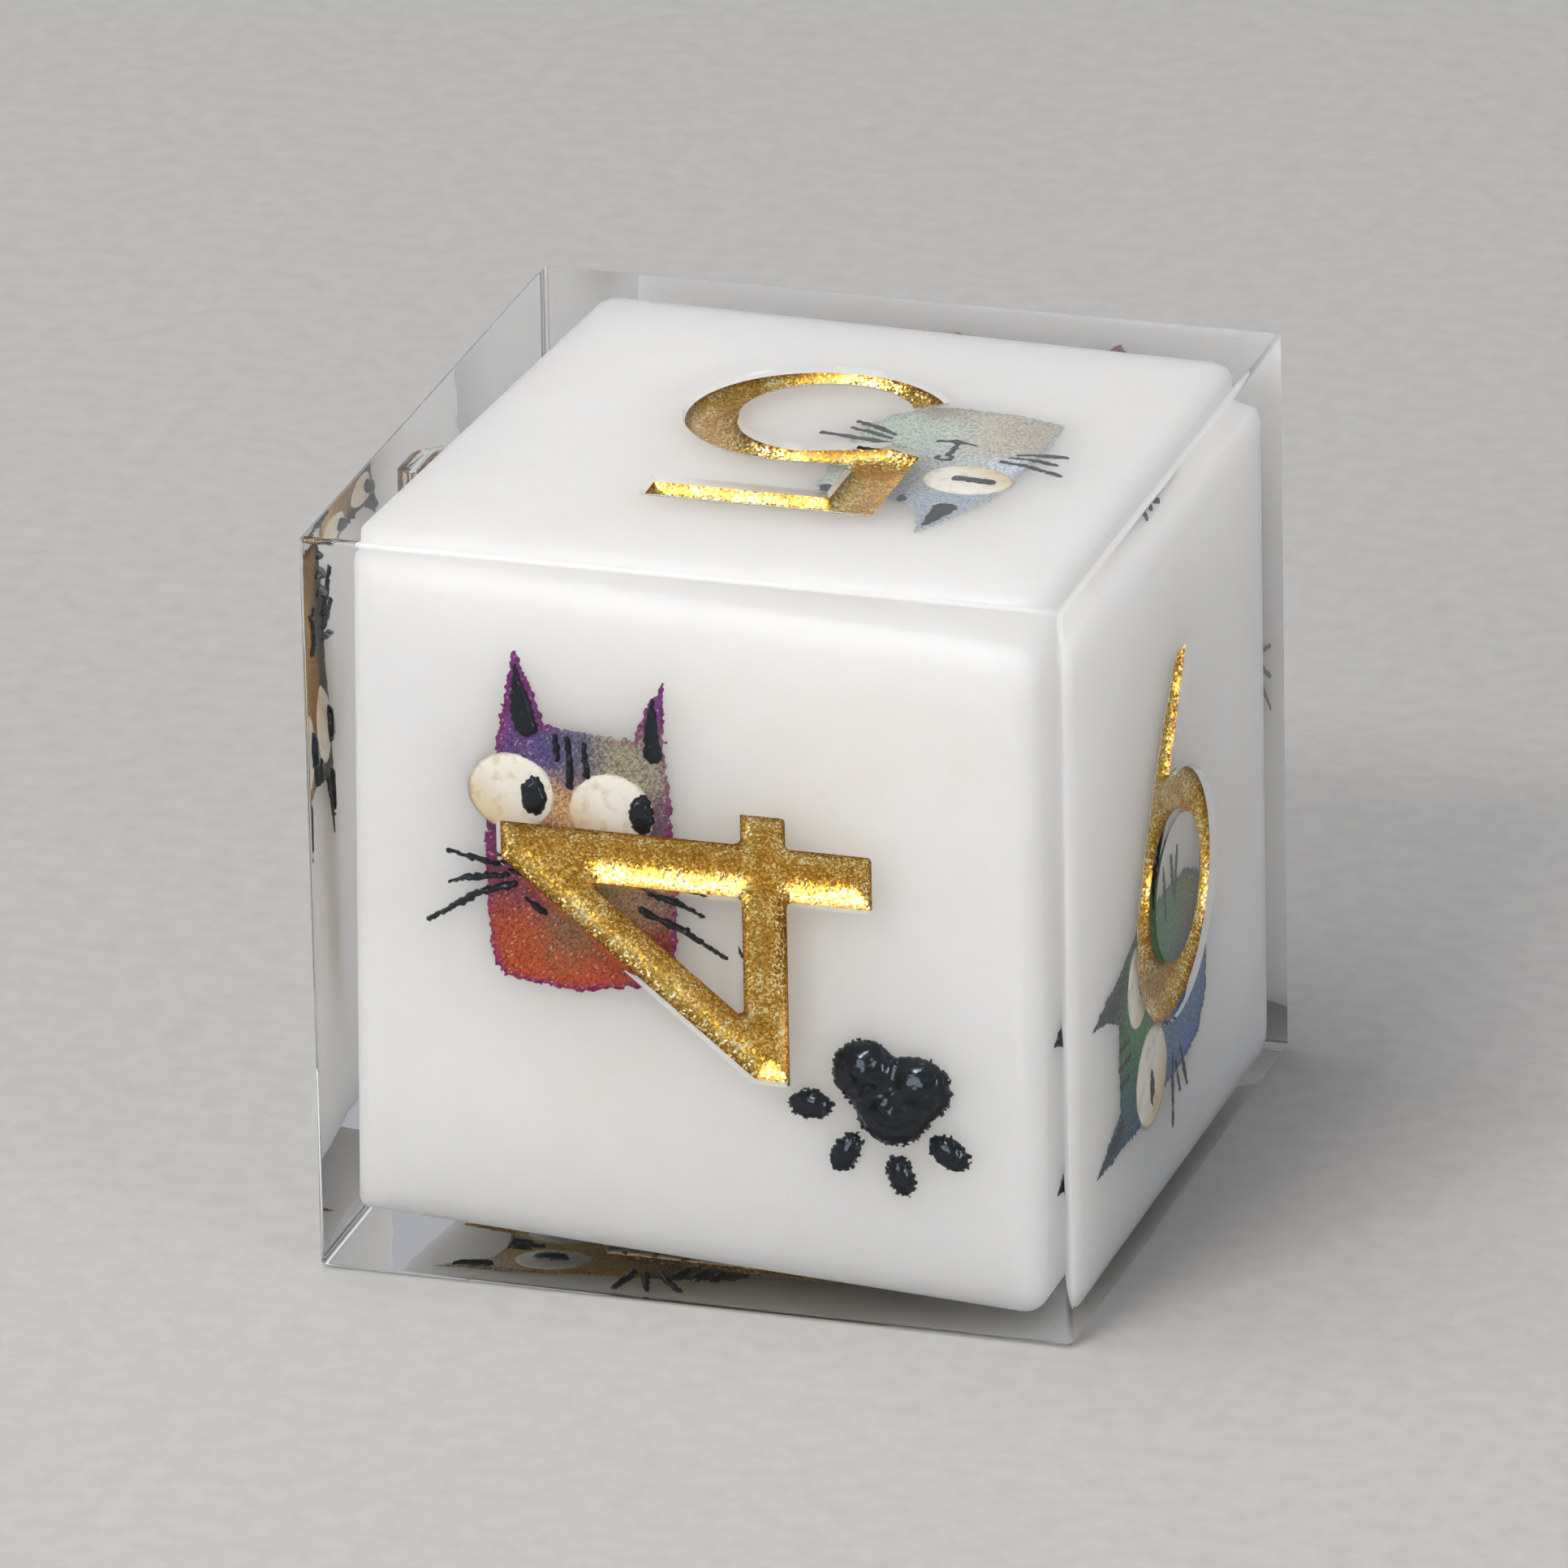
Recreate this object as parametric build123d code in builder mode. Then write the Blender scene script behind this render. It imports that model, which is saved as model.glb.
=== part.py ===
from build123d import *
import os

os.makedirs("parts", exist_ok=True)

# A six-sided gaming die: a white core with cats printed on it, cast inside a clear
# resin cube whose six numerals are engraved and gilded. Millimetres, +Z up, and the
# origin is at the middle of the face that the die rests on.

# ---- the clear cube ----
die_size = 16.0
edge_round = 0.12
half_die = die_size / 2

# ---- the engraved numerals ----
numeral_height = 7.9
stem_width = 1.25
hairline_width = 1.03
groove_depth = 0.40
gilding_thickness = 0.06

# ---- the white core: the resin left between the engraving's floor and the middle of each
# of its faces, and how far that face leans about the die's own axes, in degrees ----
core_round = 0.60
webs = {"front": 0.45, "back": 0.40, "left": 0.75, "right": 0.32, "top": 0.45, "bottom": 0.28}
core_leans = {"top": (0.0, 2.9, 0.0), "bottom": (0.0, 3.1, 0.0), "left": (0.0, 1.15, -3.4)}
no_lean = (0.0, 0.0, 0.0)

# ---- the printed inks, each standing straight on the core ----
coat_ink = 0.03
eye_ink = 0.06
line_ink = 0.09
line_width = 0.16

# The prints were drawn for a 16 mm die, and the numerals 7.9 mm high.
print_scale = die_size / 16.0
numeral_scale = numeral_height / 7.9

# Each face by its outward normal and the direction that is to its right, seen from outside.
faces = {
    "front": (Vector(0, -1, 0), Vector(1, 0, 0)),
    "back": (Vector(0, 1, 0), Vector(-1, 0, 0)),
    "left": (Vector(-1, 0, 0), Vector(0, -1, 0)),
    "right": (Vector(1, 0, 0), Vector(0, 1, 0)),
    "top": (Vector(0, 0, 1), Vector(1, 0, 0)),
    "bottom": (Vector(0, 0, -1), Vector(1, 0, 0)),
}
die_middle = Vector(0, 0, half_die)


def outer_plane(face, turn):
    """The plane of an outer face, turned anticlockwise as a numeral on it is."""
    normal, right = faces[face]
    flat = Plane(origin=die_middle + normal * half_die, x_dir=right, z_dir=normal)
    return flat * Rotation(0, 0, turn)


def core_plane(face):
    """The plane of a face of the core, with that face's own small lean."""
    normal, right = faces[face]
    wall = groove_depth + webs[face]
    level = Plane(origin=die_middle + normal * (half_die - wall), x_dir=right, z_dir=normal)
    return level.rotated(core_leans.get(face, no_lean))


# ---- numeral outlines, upright, centred, at the height they were drawn ----
cap = numeral_height / numeral_scale / 2

with BuildSketch() as one:
    stem_left = -0.30
    flag_reach = 1.45
    flag_drop = 1.45
    with BuildLine():
        Polyline(
            (stem_left + stem_width, cap),
            (stem_left + stem_width, -cap),
            (stem_left, -cap),
            (stem_left, cap - flag_drop),
            (stem_left - flag_reach, cap - flag_drop - hairline_width),
            (stem_left - flag_reach, cap - flag_drop),
            (stem_left, cap),
            close=True,
        )
    make_face()

with BuildSketch() as two:
    bowl_radius = 2.50
    bowl_height = cap - bowl_radius
    stroke = (stem_width + hairline_width) / 2
    foot_left = -2.60
    foot_right = 2.70
    foot_top = hairline_width - cap
    with BuildLine():
        outer = CenterArc((0.05, bowl_height), bowl_radius, -25, 210)
        inner = CenterArc((-0.06, bowl_height), bowl_radius - stroke, -28, 211)
        Line(outer @ 1, inner @ 1)
        Polyline(
            outer @ 0,
            (foot_left + 1.75, foot_top),
            (foot_right, foot_top),
            (foot_right, -cap),
            (foot_left, -cap),
            (foot_left, foot_top + 0.25),
            inner @ 0,
        )
    make_face()

with BuildSketch() as three:
    waist = (1.57, 0.60)
    upper_tip = (-1.94, 2.28)
    lower_tip = (-2.42, -1.95)
    tongue_left = -0.85
    with BuildLine():
        ThreePointArc(upper_tip, (0.05, cap), waist)
        ThreePointArc(waist, (1.00, -3.76), lower_tip)
        upper_eye = CenterArc((-0.05, 1.93), 0.91, -80, 246)
        lower_eye = CenterArc((-0.05, -1.42), 1.40, -166, 246)
        Line(upper_tip, upper_eye @ 1)
        Line(lower_tip, lower_eye @ 0)
        Polyline(
            lower_eye @ 1,
            (tongue_left, (lower_eye @ 1).Y),
            (tongue_left, (upper_eye @ 0).Y),
            upper_eye @ 0,
        )
    make_face()

with BuildSketch() as four:
    stem_right = 2.28
    stem_inside = stem_right - stem_width
    bar_top = -1.12
    bar_bottom = bar_top - hairline_width
    bar_left = -2.92
    bar_right = 2.94
    with BuildLine():
        Polyline(
            (stem_inside + 0.38, cap),
            (stem_right, cap),
            (stem_right, bar_top),
            (bar_right, bar_top),
            (bar_right, bar_bottom),
            (stem_right, bar_bottom),
            (stem_right, -cap),
            (stem_inside, -cap),
            (stem_inside, bar_bottom),
            (bar_left, bar_bottom),
            (bar_left, bar_bottom + 0.78),
            close=True,
        )
    make_face()
    with BuildLine():
        Polyline((stem_inside, bar_top), (stem_inside, 1.95), (-1.45, bar_top), close=True)
    make_face(mode=Mode.SUBTRACT)

with BuildSketch() as five:
    neck_left = -2.83
    neck_right = neck_left + stem_width
    bar_underside = cap - hairline_width
    five_radius = 2.70
    with BuildLine():
        outer = CenterArc((-0.10, five_radius - cap), five_radius, -152, 242)
        inner = CenterArc((-0.30, -1.19), 1.77, -155, 245)
        Line(outer @ 0, inner @ 0)
        Polyline(
            outer @ 1,
            (neck_right, 1.40),
            (neck_right, bar_underside),
            (2.13, bar_underside),
            (2.10, cap),
            (neck_left, cap),
            (neck_left, 0.35),
            (-2.05, 0.0),
            inner @ 1,
        )
    make_face()

with BuildSketch() as six:
    six_radius = 2.70
    with BuildLine():
        bowl = CenterArc((-0.10, six_radius - cap), six_radius, 164, 286)
        ThreePointArc((0.05, cap), (-1.80, 1.50), bowl @ 0)
        Polyline(bowl @ 1, (1.30, cap - 0.05), (0.05, cap))
    make_face()
    with Locations((-0.05, -1.17)):
        Circle(1.57, mode=Mode.SUBTRACT)

# Which numeral each face carries, and how far it is turned there. Opposite faces add to seven.
numerals = {
    "left": ("one", one, 0),
    "bottom": ("two", two, 180),
    "back": ("three", three, 180),
    "front": ("four", four, 90),
    "top": ("five", five, 180),
    "right": ("six", six, 0),
}


# ---- printed art, upright, centred on its own middle ----
def cat_art(width, height, ears):
    """Outlines of one cat's head: the coat, the eyes, and the lines drawn over them."""
    side = width / 2
    chin = -height / 2
    brow = height / 2
    eye_middle = 0.22 * height
    eye_apart = 0.26 * width
    with BuildSketch() as lines:
        with Locations((-eye_apart + 0.35, eye_middle), (eye_apart + 0.2, eye_middle)):
            Ellipse(0.26, 0.40)
        with Locations((0, -0.14 * height)):
            Rectangle(4 * line_width, line_width)
            Rectangle(line_width, 0.2 * height, align=(Align.CENTER, Align.MAX))
        for slope in (-18, 0, 18):
            for hand in (-1, 1):
                with Locations(Location((hand * side, -0.1 * height + slope / 60), hand * slope)):
                    Rectangle(1.5, line_width)
    with BuildSketch() as eyes:
        with Locations((-eye_apart, eye_middle), (eye_apart, eye_middle)):
            Ellipse(0.21 * width, 0.90)
        add(lines.sketch, mode=Mode.SUBTRACT)
    with BuildSketch() as coat:
        with BuildLine():
            ThreePointArc((-side + 0.1, chin + 0.2), (0, chin), (side - 0.1, chin + 0.2))
            Polyline(
                (side - 0.1, chin + 0.2),
                (side, brow),
                (side - 0.05, brow + ears),
                (side - 0.28 * width, brow),
                (0.28 * width - side, brow),
                (0.18 * width - side, brow + ears),
                (-side, brow),
                (-side + 0.1, chin + 0.2),
            )
        make_face()
        add(eyes.sketch, mode=Mode.SUBTRACT)
        add(lines.sketch, mode=Mode.SUBTRACT)
    return {"coat": coat.sketch, "eye": eyes.sketch, "line": lines.sketch}


# Each face's cat: middle of the head on the core's face, turn, width, height, ear height.
cats = {
    "front": ((-2.38, 1.20), 0, 4.0, 5.6, 1.7),
    "top": ((3.10, 0.40), 180, 3.7, 4.9, 1.7),
    "right": ((-0.50, -3.20), 90, 4.3, 6.2, 1.7),
    "left": ((1.75, 3.50), 180, 3.9, 5.2, 1.6),
    "back": ((-2.60, 0.80), 0, 3.9, 5.2, 1.6),
    "bottom": ((-2.55, 1.40), 90, 3.9, 5.6, 1.3),
}
ink_heights = {"coat": coat_ink, "eye": eye_ink, "line": line_ink}

with BuildSketch() as paw_art:
    with Locations((-0.55, -0.42), (0.62, -0.25)):
        Circle(0.78)
    with Locations((0.05, 0.15)):
        Circle(0.95)
    with Locations(Location((-1.62, 0.75), 35), Location((-0.62, 1.72), 12)):
        Ellipse(0.34, 0.46)
    with Locations(Location((0.68, 1.70), -12), Location((1.62, 0.85), -40)):
        Ellipse(0.34, 0.46)
paw_middle = (4.15, -3.35)
paw_turn = 172


# ---- the white core: one block, each face trimmed at its own lean, then rounded ----
with BuildPart() as white_core:
    with Locations(die_middle):
        Box(die_size, die_size, die_size)
    for face in faces:
        split(bisect_by=core_plane(face), keep=Keep.BOTTOM)
    fillet(white_core.edges(), core_round)
white_core.part.label = "white_core"
export_step(white_core.part, "parts/white_core.step")

# ---- the inks ----
printed = []


def print_on(face, art, place, turn, height, label):
    """One colour of ink: its outline placed on a face of the core and built up to its height."""
    art_plane = core_plane(face)
    with BuildPart() as ink:
        with BuildSketch(art_plane):
            with Locations(Location(place, turn)):
                add(art)
            scale(by=print_scale)
        extrude(amount=height)
    ink.part.label = label
    export_step(ink.part, f"parts/{label}.step")
    printed.append(ink.part)


for face, (place, turn, width, height, ears) in cats.items():
    art = cat_art(width, height, ears)
    for layer, outline in art.items():
        print_on(face, outline, place, turn, ink_heights[layer], f"{face}_cat_{layer}_ink")
print_on("front", paw_art.sketch, paw_middle, paw_turn, line_ink, "front_paw_print_ink")

# ---- the engraved grooves, and the gold lining that fills each groove's skin ----
grooves = []

for face, (word, outline, turn) in numerals.items():
    surface = outer_plane(face, turn)
    with BuildSketch() as mouth:
        add(outline.sketch)
        scale(by=numeral_scale)
    with BuildSketch() as bare_middle:
        add(mouth.sketch)
        offset(amount=-gilding_thickness)
    with BuildPart() as groove:
        with BuildSketch(surface):
            add(mouth.sketch)
        extrude(amount=-groove_depth)
    with BuildPart() as gilding:
        add(groove.part)
        with BuildSketch(surface):
            add(bare_middle.sketch)
        extrude(amount=gilding_thickness - groove_depth, mode=Mode.SUBTRACT)
    gilding.part.label = f"numeral_{word}_gilding"
    export_step(gilding.part, f"parts/numeral_{word}_gilding.step")
    grooves.append(groove.part)

# ---- the clear casing: the cube, less the grooves and everything cast inside it ----
with BuildPart() as clear_casing:
    with Locations(die_middle):
        Box(die_size, die_size, die_size)
    fillet(clear_casing.edges(), edge_round)
    add(grooves, mode=Mode.SUBTRACT)
    add(white_core.part, mode=Mode.SUBTRACT)
    add(printed, mode=Mode.SUBTRACT)
clear_casing.part.label = "clear_casing"
export_step(clear_casing.part, "parts/clear_casing.step")
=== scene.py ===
# %% [markdown]
# A six-sided die of clear cast resin. Inside it sits a white block with little cats
# printed on it, and the numerals are grooves in the clear outside, painted gold. The
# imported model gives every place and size, so it is loaded before anything is made.

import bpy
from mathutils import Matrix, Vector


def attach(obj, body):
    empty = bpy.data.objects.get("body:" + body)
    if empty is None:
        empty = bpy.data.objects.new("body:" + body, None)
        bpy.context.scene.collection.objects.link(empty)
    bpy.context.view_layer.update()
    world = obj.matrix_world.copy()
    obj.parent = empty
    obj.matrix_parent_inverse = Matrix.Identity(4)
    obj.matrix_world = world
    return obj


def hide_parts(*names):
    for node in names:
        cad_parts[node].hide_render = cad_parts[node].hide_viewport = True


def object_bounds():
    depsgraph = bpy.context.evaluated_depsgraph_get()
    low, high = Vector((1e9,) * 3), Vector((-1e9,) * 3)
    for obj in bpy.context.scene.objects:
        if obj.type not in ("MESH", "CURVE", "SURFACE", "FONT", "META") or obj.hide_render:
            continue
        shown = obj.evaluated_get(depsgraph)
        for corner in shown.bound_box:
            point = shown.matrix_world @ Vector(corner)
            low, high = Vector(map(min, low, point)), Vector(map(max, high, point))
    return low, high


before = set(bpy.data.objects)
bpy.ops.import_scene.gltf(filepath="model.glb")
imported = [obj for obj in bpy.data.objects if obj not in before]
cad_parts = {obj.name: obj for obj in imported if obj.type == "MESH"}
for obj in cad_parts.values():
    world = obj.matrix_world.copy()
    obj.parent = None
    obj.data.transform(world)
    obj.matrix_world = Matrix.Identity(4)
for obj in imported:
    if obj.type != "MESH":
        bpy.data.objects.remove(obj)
cad_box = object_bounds()
print("cad box in metres:", [round(c, 4) for corner in cad_box for c in corner])

# %% Tools and the die's own sizes, in millimetres
import math

import bmesh
import bpy
import numpy as np
from mathutils import Matrix, Vector
from mathutils.geometry import delaunay_2d_cdt

mm = 0.001
half_die = round(cad_box[1][0] / mm, 3)
edge_round = 0.12
die_middle = np.array((0.0, 0.0, half_die))

# Each face by its outward normal and the direction that is to its right.
faces = {
    "front": ((0, -1, 0), (1, 0, 0)),
    "back": ((0, 1, 0), (-1, 0, 0)),
    "left": ((-1, 0, 0), (0, -1, 0)),
    "right": ((1, 0, 0), (0, 1, 0)),
    "top": ((0, 0, 1), (1, 0, 0)),
    "bottom": ((0, 0, -1), (1, 0, 0)),
}


def on_face(face, across, up, out):
    """Points over an outer face, from its middle: across, up, and out of it (in is minus)."""
    normal, right = (np.array(way, float) for way in faces[face])
    rise = np.cross(normal, right)
    flat = [np.asarray(part, float).reshape(-1, 1) for part in np.broadcast_arrays(across, up, out)]
    return die_middle + flat[0] * right + flat[1] * rise + (half_die + flat[2]) * normal


print("half of the die's side, mm:", half_die)

# %% [markdown]
# Every piece of the die ends up as a closed mesh that rides on the die's one body. A
# small helper does the bookkeeping: it makes the mesh in metres, smooths its curved
# parts but leaves true corners sharp, and hides the imported nodes the piece stands for.

# %% Make a piece from points and faces
def make_piece(name, points, polygons, material, nodes, crease=32.0):
    """A shown piece from points in millimetres."""
    mesh = bpy.data.meshes.new(name)
    mesh.from_pydata((np.asarray(points) * mm).tolist(), [], polygons)
    mesh.shade_smooth()
    mesh.set_sharp_from_angle(angle=math.radians(crease))
    piece = bpy.data.objects.new(name, mesh)
    bpy.context.scene.collection.objects.link(piece)
    mesh.materials.append(material)
    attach(piece, "root")
    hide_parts(*nodes)
    print(f"{name}: {len(mesh.vertices)} points, {len(mesh.polygons)} faces")
    return piece


def keep_flats_flat(piece):
    """Lets the big flat faces rule the shading where they run into small rounded ones."""
    flats = piece.modifiers.new("flats", "WEIGHTED_NORMAL")
    flats.keep_sharp = True
    flats.weight = 100
    bpy.context.view_layer.update()
    settled = bpy.data.meshes.new_from_object(
        piece.evaluated_get(bpy.context.evaluated_depsgraph_get())
    )
    piece.modifiers.clear()
    piece.data = settled


def closed_skin(top, polygons, bottom):
    """A thin closed shell: the top sheet, the same sheet turned over below it, and an edge."""
    count = len(top)
    edges = {}
    for polygon in polygons:
        for a, b in zip(polygon, (*polygon[1:], polygon[0])):
            edges[(a, b)] = True
    rim = [(b, a, a + count, b + count) for a, b in edges if (b, a) not in edges]
    under = [tuple(count + i for i in reversed(polygon)) for polygon in polygons]
    return np.vstack((top, bottom)), [*polygons, *under, *rim]


# %% [markdown]
# The numerals are plain strokes with square ends: bars, part circles and a slanting
# tail. Fonts could give numerals too, but these have their own proportions, so each
# outline is walked once round as a list of points, straight runs and bows in turn.

# %% Bows and runs
def bow(cx, cy, rx, ry, start, sweep):
    """Part of an ellipse, from an angle and through a sweep in degrees."""
    turns = np.radians(np.linspace(start, start + sweep, max(4, int(abs(sweep) / 3))))
    return [(cx + rx * math.cos(t), cy + ry * math.sin(t)) for t in turns]


def bow_through(first, second, third):
    """The circle's bow from first to third that passes through second."""
    (ax, ay), (bx, by), (cx, cy) = first, second, third
    d = 2 * (ax * (by - cy) + bx * (cy - ay) + cx * (ay - by))
    a2, b2, c2 = ax * ax + ay * ay, bx * bx + by * by, cx * cx + cy * cy
    mx = (a2 * (by - cy) + b2 * (cy - ay) + c2 * (ay - by)) / d
    my = (a2 * (cx - bx) + b2 * (ax - cx) + c2 * (bx - ax)) / d
    angles = np.degrees(np.unwrap([math.atan2(y - my, x - mx) for x, y in (first, second, third)]))
    radius = math.hypot(ax - mx, ay - my)
    return bow(mx, my, radius, radius, angles[0], angles[2] - angles[0])


def soften(corners, radius=0.10):
    """A polygon whose corners are eased by a small cut bow."""
    eased = []
    for before, corner, after in zip((corners[-1], *corners[:-1]), corners, (*corners[1:], corners[0])):
        p, c, q = (np.array(x, float) for x in (before, corner, after))
        into = c + (p - c) / np.linalg.norm(p - c) * radius
        away = c + (q - c) / np.linalg.norm(q - c) * radius
        eased += [tuple((1 - t) ** 2 * into + 2 * t * (1 - t) * c + t * t * away) for t in (0, 0.33, 0.67, 1)]
    return eased


# %% The six outlines, upright about the middle of the face
cap = 3.95
thin_bar = 1.03
upper_eye = bow(-0.05, 1.93, 0.91, 0.91, -80, 246)
lower_eye = bow(-0.05, -1.42, 1.40, 1.40, -166, 246)

outlines = {
    "one": [soften([
        (-0.30, cap), (-1.75, cap - 1.45), (-1.75, cap - 1.45 - thin_bar), (-0.30, cap - 1.45),
        (-0.30, -cap), (0.95, -cap), (0.95, cap),
    ])],
    "two": [
        bow(0.05, 1.45, 2.50, 2.50, -25, 210)
        + bow(-0.06, 1.45, 1.36, 1.36, 183, -211)
        + [(-2.60, -2.67), (-2.60, -cap), (2.70, -cap), (2.70, -2.92), (-0.85, -2.92)],
    ],
    "three": [
        bow_through((-1.94, 2.28), (0.05, cap), (1.57, 0.60))[:-1]
        + bow_through((1.57, 0.60), (1.00, -3.76), (-2.42, -1.95))
        + lower_eye
        + [(-0.85, lower_eye[-1][1]), (-0.85, upper_eye[0][1])]
        + upper_eye,
    ],
    "four": [
        soften([
            (1.41, cap), (-2.92, -1.37), (-2.92, -2.15), (1.03, -2.15), (1.03, -cap),
            (2.28, -cap), (2.28, -2.15), (2.94, -2.15), (2.94, -1.12), (2.28, -1.12), (2.28, cap),
        ]),
        soften([(1.03, -1.12), (1.03, 1.95), (-1.45, -1.12)]),
    ],
    "five": [
        bow(-0.10, -1.19, 2.77, 2.66, -152, 242)
        + [(-1.58, 1.40), (-1.58, 2.92), (2.13, 2.92), (2.10, cap), (-2.83, cap)]
        + [(-2.83, 0.35), (-2.05, 0.0)]
        + bow(-0.30, -1.19, 1.80, 1.74, 90, -245),
    ],
    "six": [
        bow(-0.12, -1.28, 2.87, 2.65, 165, 285)
        + [(1.30, 3.90)]
        + bow_through((0.05, cap), (-1.80, 1.50), (-2.89, -0.59))[:-1],
        bow(-0.05, -1.13, 1.62, 1.55, 0, 357),
    ],
}
# Which numeral each face carries, and how far it is turned there.
numerals = {
    "left": ("one", 0), "bottom": ("two", 180), "back": ("three", 180),
    "front": ("four", 90), "top": ("five", 180), "right": ("six", 0),
}


def turned(points, degrees):
    """Points turned anticlockwise about the middle."""
    t = math.radians(degrees)
    return np.asarray(points, float) @ np.array(((math.cos(t), math.sin(t)), (-math.sin(t), math.cos(t))))


for word, loops in outlines.items():
    print(f"outline of the {word}: {sum(len(loop) for loop in loops)} points")

# %% Measure how far a point is from an outline, and whether it is inside
def edge_distance(points, loops):
    """Each point's distance to the nearest run of the loops; points is an (n, 2) array."""
    best = np.full(len(points), 1e9)
    for loop in loops:
        loop = np.asarray(loop, float)
        for a, b in zip(loop, np.roll(loop, -1, axis=0)):
            run = b - a
            along = np.clip(((points - a) @ run) / max(run @ run, 1e-12), 0, 1)
            best = np.minimum(best, np.linalg.norm(points - a - along[:, None] * run, axis=1))
    return best


def is_inside(points, loops):
    """True where a point lies in the shape that the loops bound."""
    inside = np.zeros(len(points), bool)
    x, y = points[:, 0], points[:, 1]
    for loop in loops:
        loop = np.asarray(loop, float)
        for (ax, ay), (bx, by) in zip(loop, np.roll(loop, -1, axis=0)):
            crosses = (ay > y) != (by > y)
            inside ^= crosses & (x < (bx - ax) * (y - ay) / (by - ay + 1e-15) + ax)
    return inside


face_middle = np.zeros((1, 2))
for word, loops in outlines.items():
    print(f"the {word}'s edge is {edge_distance(face_middle, loops)[0]:.2f} mm from the face's middle")

# %% [markdown]
# A numeral's groove is pressed by a rounded tool: steep at its edge and easing to a
# round floor. A boolean cut would leave a square trench, and a dense height map would
# step along every slanting edge. So each face is one sheet of triangles whose edges
# follow the outline exactly, with rows of points beside it, each row sunk a bit lower.

# %% The groove's section, and how close its points lie
groove_depth = 0.40
groove_reach = 0.62
rows = (0.045, 0.10, 0.165, 0.24, 0.32, 0.41, 0.50)
pitch, floor_pitch = 0.11, 0.14


def sink(distance):
    """How deep the groove is at a distance in from its edge."""
    left = 1 - np.clip(distance / groove_reach, 0, 1)
    return groove_depth * np.sqrt(np.clip(1 - left * left, 0, 1))


def dense(loop, step):
    """The loop with points added along its long runs."""
    loop = np.asarray(loop, float)
    walked = []
    for a, b in zip(loop, np.roll(loop, -1, axis=0)):
        parts = max(1, round(np.linalg.norm(b - a) / step))
        walked += [a + (b - a) * k / parts for k in range(parts)]
    return np.array(walked)


def signed_area(loop):
    """The area inside a loop, which is below nothing where the loop runs clockwise."""
    x, y = np.asarray(loop, float).T
    return 0.5 * float(np.sum(x * np.roll(y, -1) - y * np.roll(x, -1)))


print("depth of each row, mm:", sink(np.array(rows)).round(3).tolist())

# %% Rows of points that follow an outline inward
fan_from = 0.35
sharpest_mitre = 0.2


def inner_rows(loop):
    """Points at each row's distance inside a loop that keeps its stroke on the left.

    Where the loop turns away from its stroke by more than fan_from radians, one line of
    points would leave a gap, so five of them spread out like a fan.
    """
    before, after = np.roll(loop, 1, axis=0), np.roll(loop, -1, axis=0)
    found = []
    for p, c, q in zip(before, loop, after):
        ways = []
        for a, b in ((p, c), (c, q)):
            run = (b - a) / np.linalg.norm(b - a)
            ways.append(np.array((-run[1], run[0])))
        one, other = ways
        bend = math.atan2(one[0] * other[1] - one[1] * other[0], one @ other)
        mitre = (one + other) / max(1 + one @ other, sharpest_mitre)
        between = [one * (1 - t) + other * t for t in (0, 0.25, 0.5, 0.75, 1)]
        fan = [mitre] if bend > -fan_from else [way / np.linalg.norm(way) for way in between]
        found += [c + way * row for way in fan for row in rows]
    return np.array(found)


# %% Each face as a sheet of triangles
floor_reach = 4.1  # points for the groove's floor are tried out to here
true_row = 0.985  # a row's point that lies nearer the edge than this part of its row is dropped
clear_of_rows = 0.05  # the least way from the last row to a floor point
crowding = 0.03  # of the points in one square of this side only the first stays
on_the_edge = 1e-4  # a point nearer the outline than this lies on it
too_close = 1e-7  # points nearer to each other than this become one


def face_sheet(word, turn):
    """One outer face as triangles: flat points, and the distance inside the numeral."""
    loops = [dense(turned(loop, turn), pitch) for loop in outlines[word]]
    loops = [
        loop if (signed_area(loop) > 0) == (n == 0) else loop[::-1] for n, loop in enumerate(loops)
    ]
    side = half_die - edge_round
    corners = np.array(((-side, -side), (side, -side), (side, side), (-side, side)))
    rowed = np.vstack([inner_rows(loop) for loop in loops])
    depth = edge_distance(rowed, loops)
    wanted = np.tile(rows, len(rowed) // len(rows))
    rowed = rowed[is_inside(rowed, loops) & (depth > true_row * wanted)]
    span = np.arange(-floor_reach, floor_reach, floor_pitch)
    floor_points = np.array([(x, y) for x in span for y in span])
    floor_points = floor_points[is_inside(floor_points, loops)]
    floor_points = floor_points[edge_distance(floor_points, loops) > rows[-1] + clear_of_rows]
    points = [*corners.tolist()]
    edges = [(0, 1), (1, 2), (2, 3), (3, 0)]
    for loop in loops:
        start = len(points)
        points += loop.tolist()
        edges += [(start + k, start + (k + 1) % len(loop)) for k in range(len(loop))]
    taken = {}
    for x, y in np.vstack((rowed, floor_points)):
        taken.setdefault((round(x / crowding), round(y / crowding)), (x, y))
    points += taken.values()
    placed, _, triangles, *_ = delaunay_2d_cdt([Vector(p) for p in points], edges, [], 0, too_close)
    placed = np.array([(p.x, p.y) for p in placed])
    inside = edge_distance(placed, loops)
    inside[~is_inside(placed, loops) | (inside < on_the_edge)] = 0
    return placed, [tuple(t) for t in triangles], inside, loops


sheets = {face: face_sheet(word, turn) for face, (word, turn) in numerals.items()}
for face, (placed, triangles, inside, _) in sheets.items():
    print(f"{face}: {len(placed)} points, deepest {sink(inside.max()):.2f} mm")

# %% [markdown]
# The casing is real clear resin, so it is one closed solid of glass with the white
# block and the inks standing inside it. Cutting a cavity for them would put a skin of
# air round the block and mirror it. With no cavity the resin wets what it holds, as
# cast resin does. Its edges are only just broken, a tenth of a millimetre.

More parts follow.
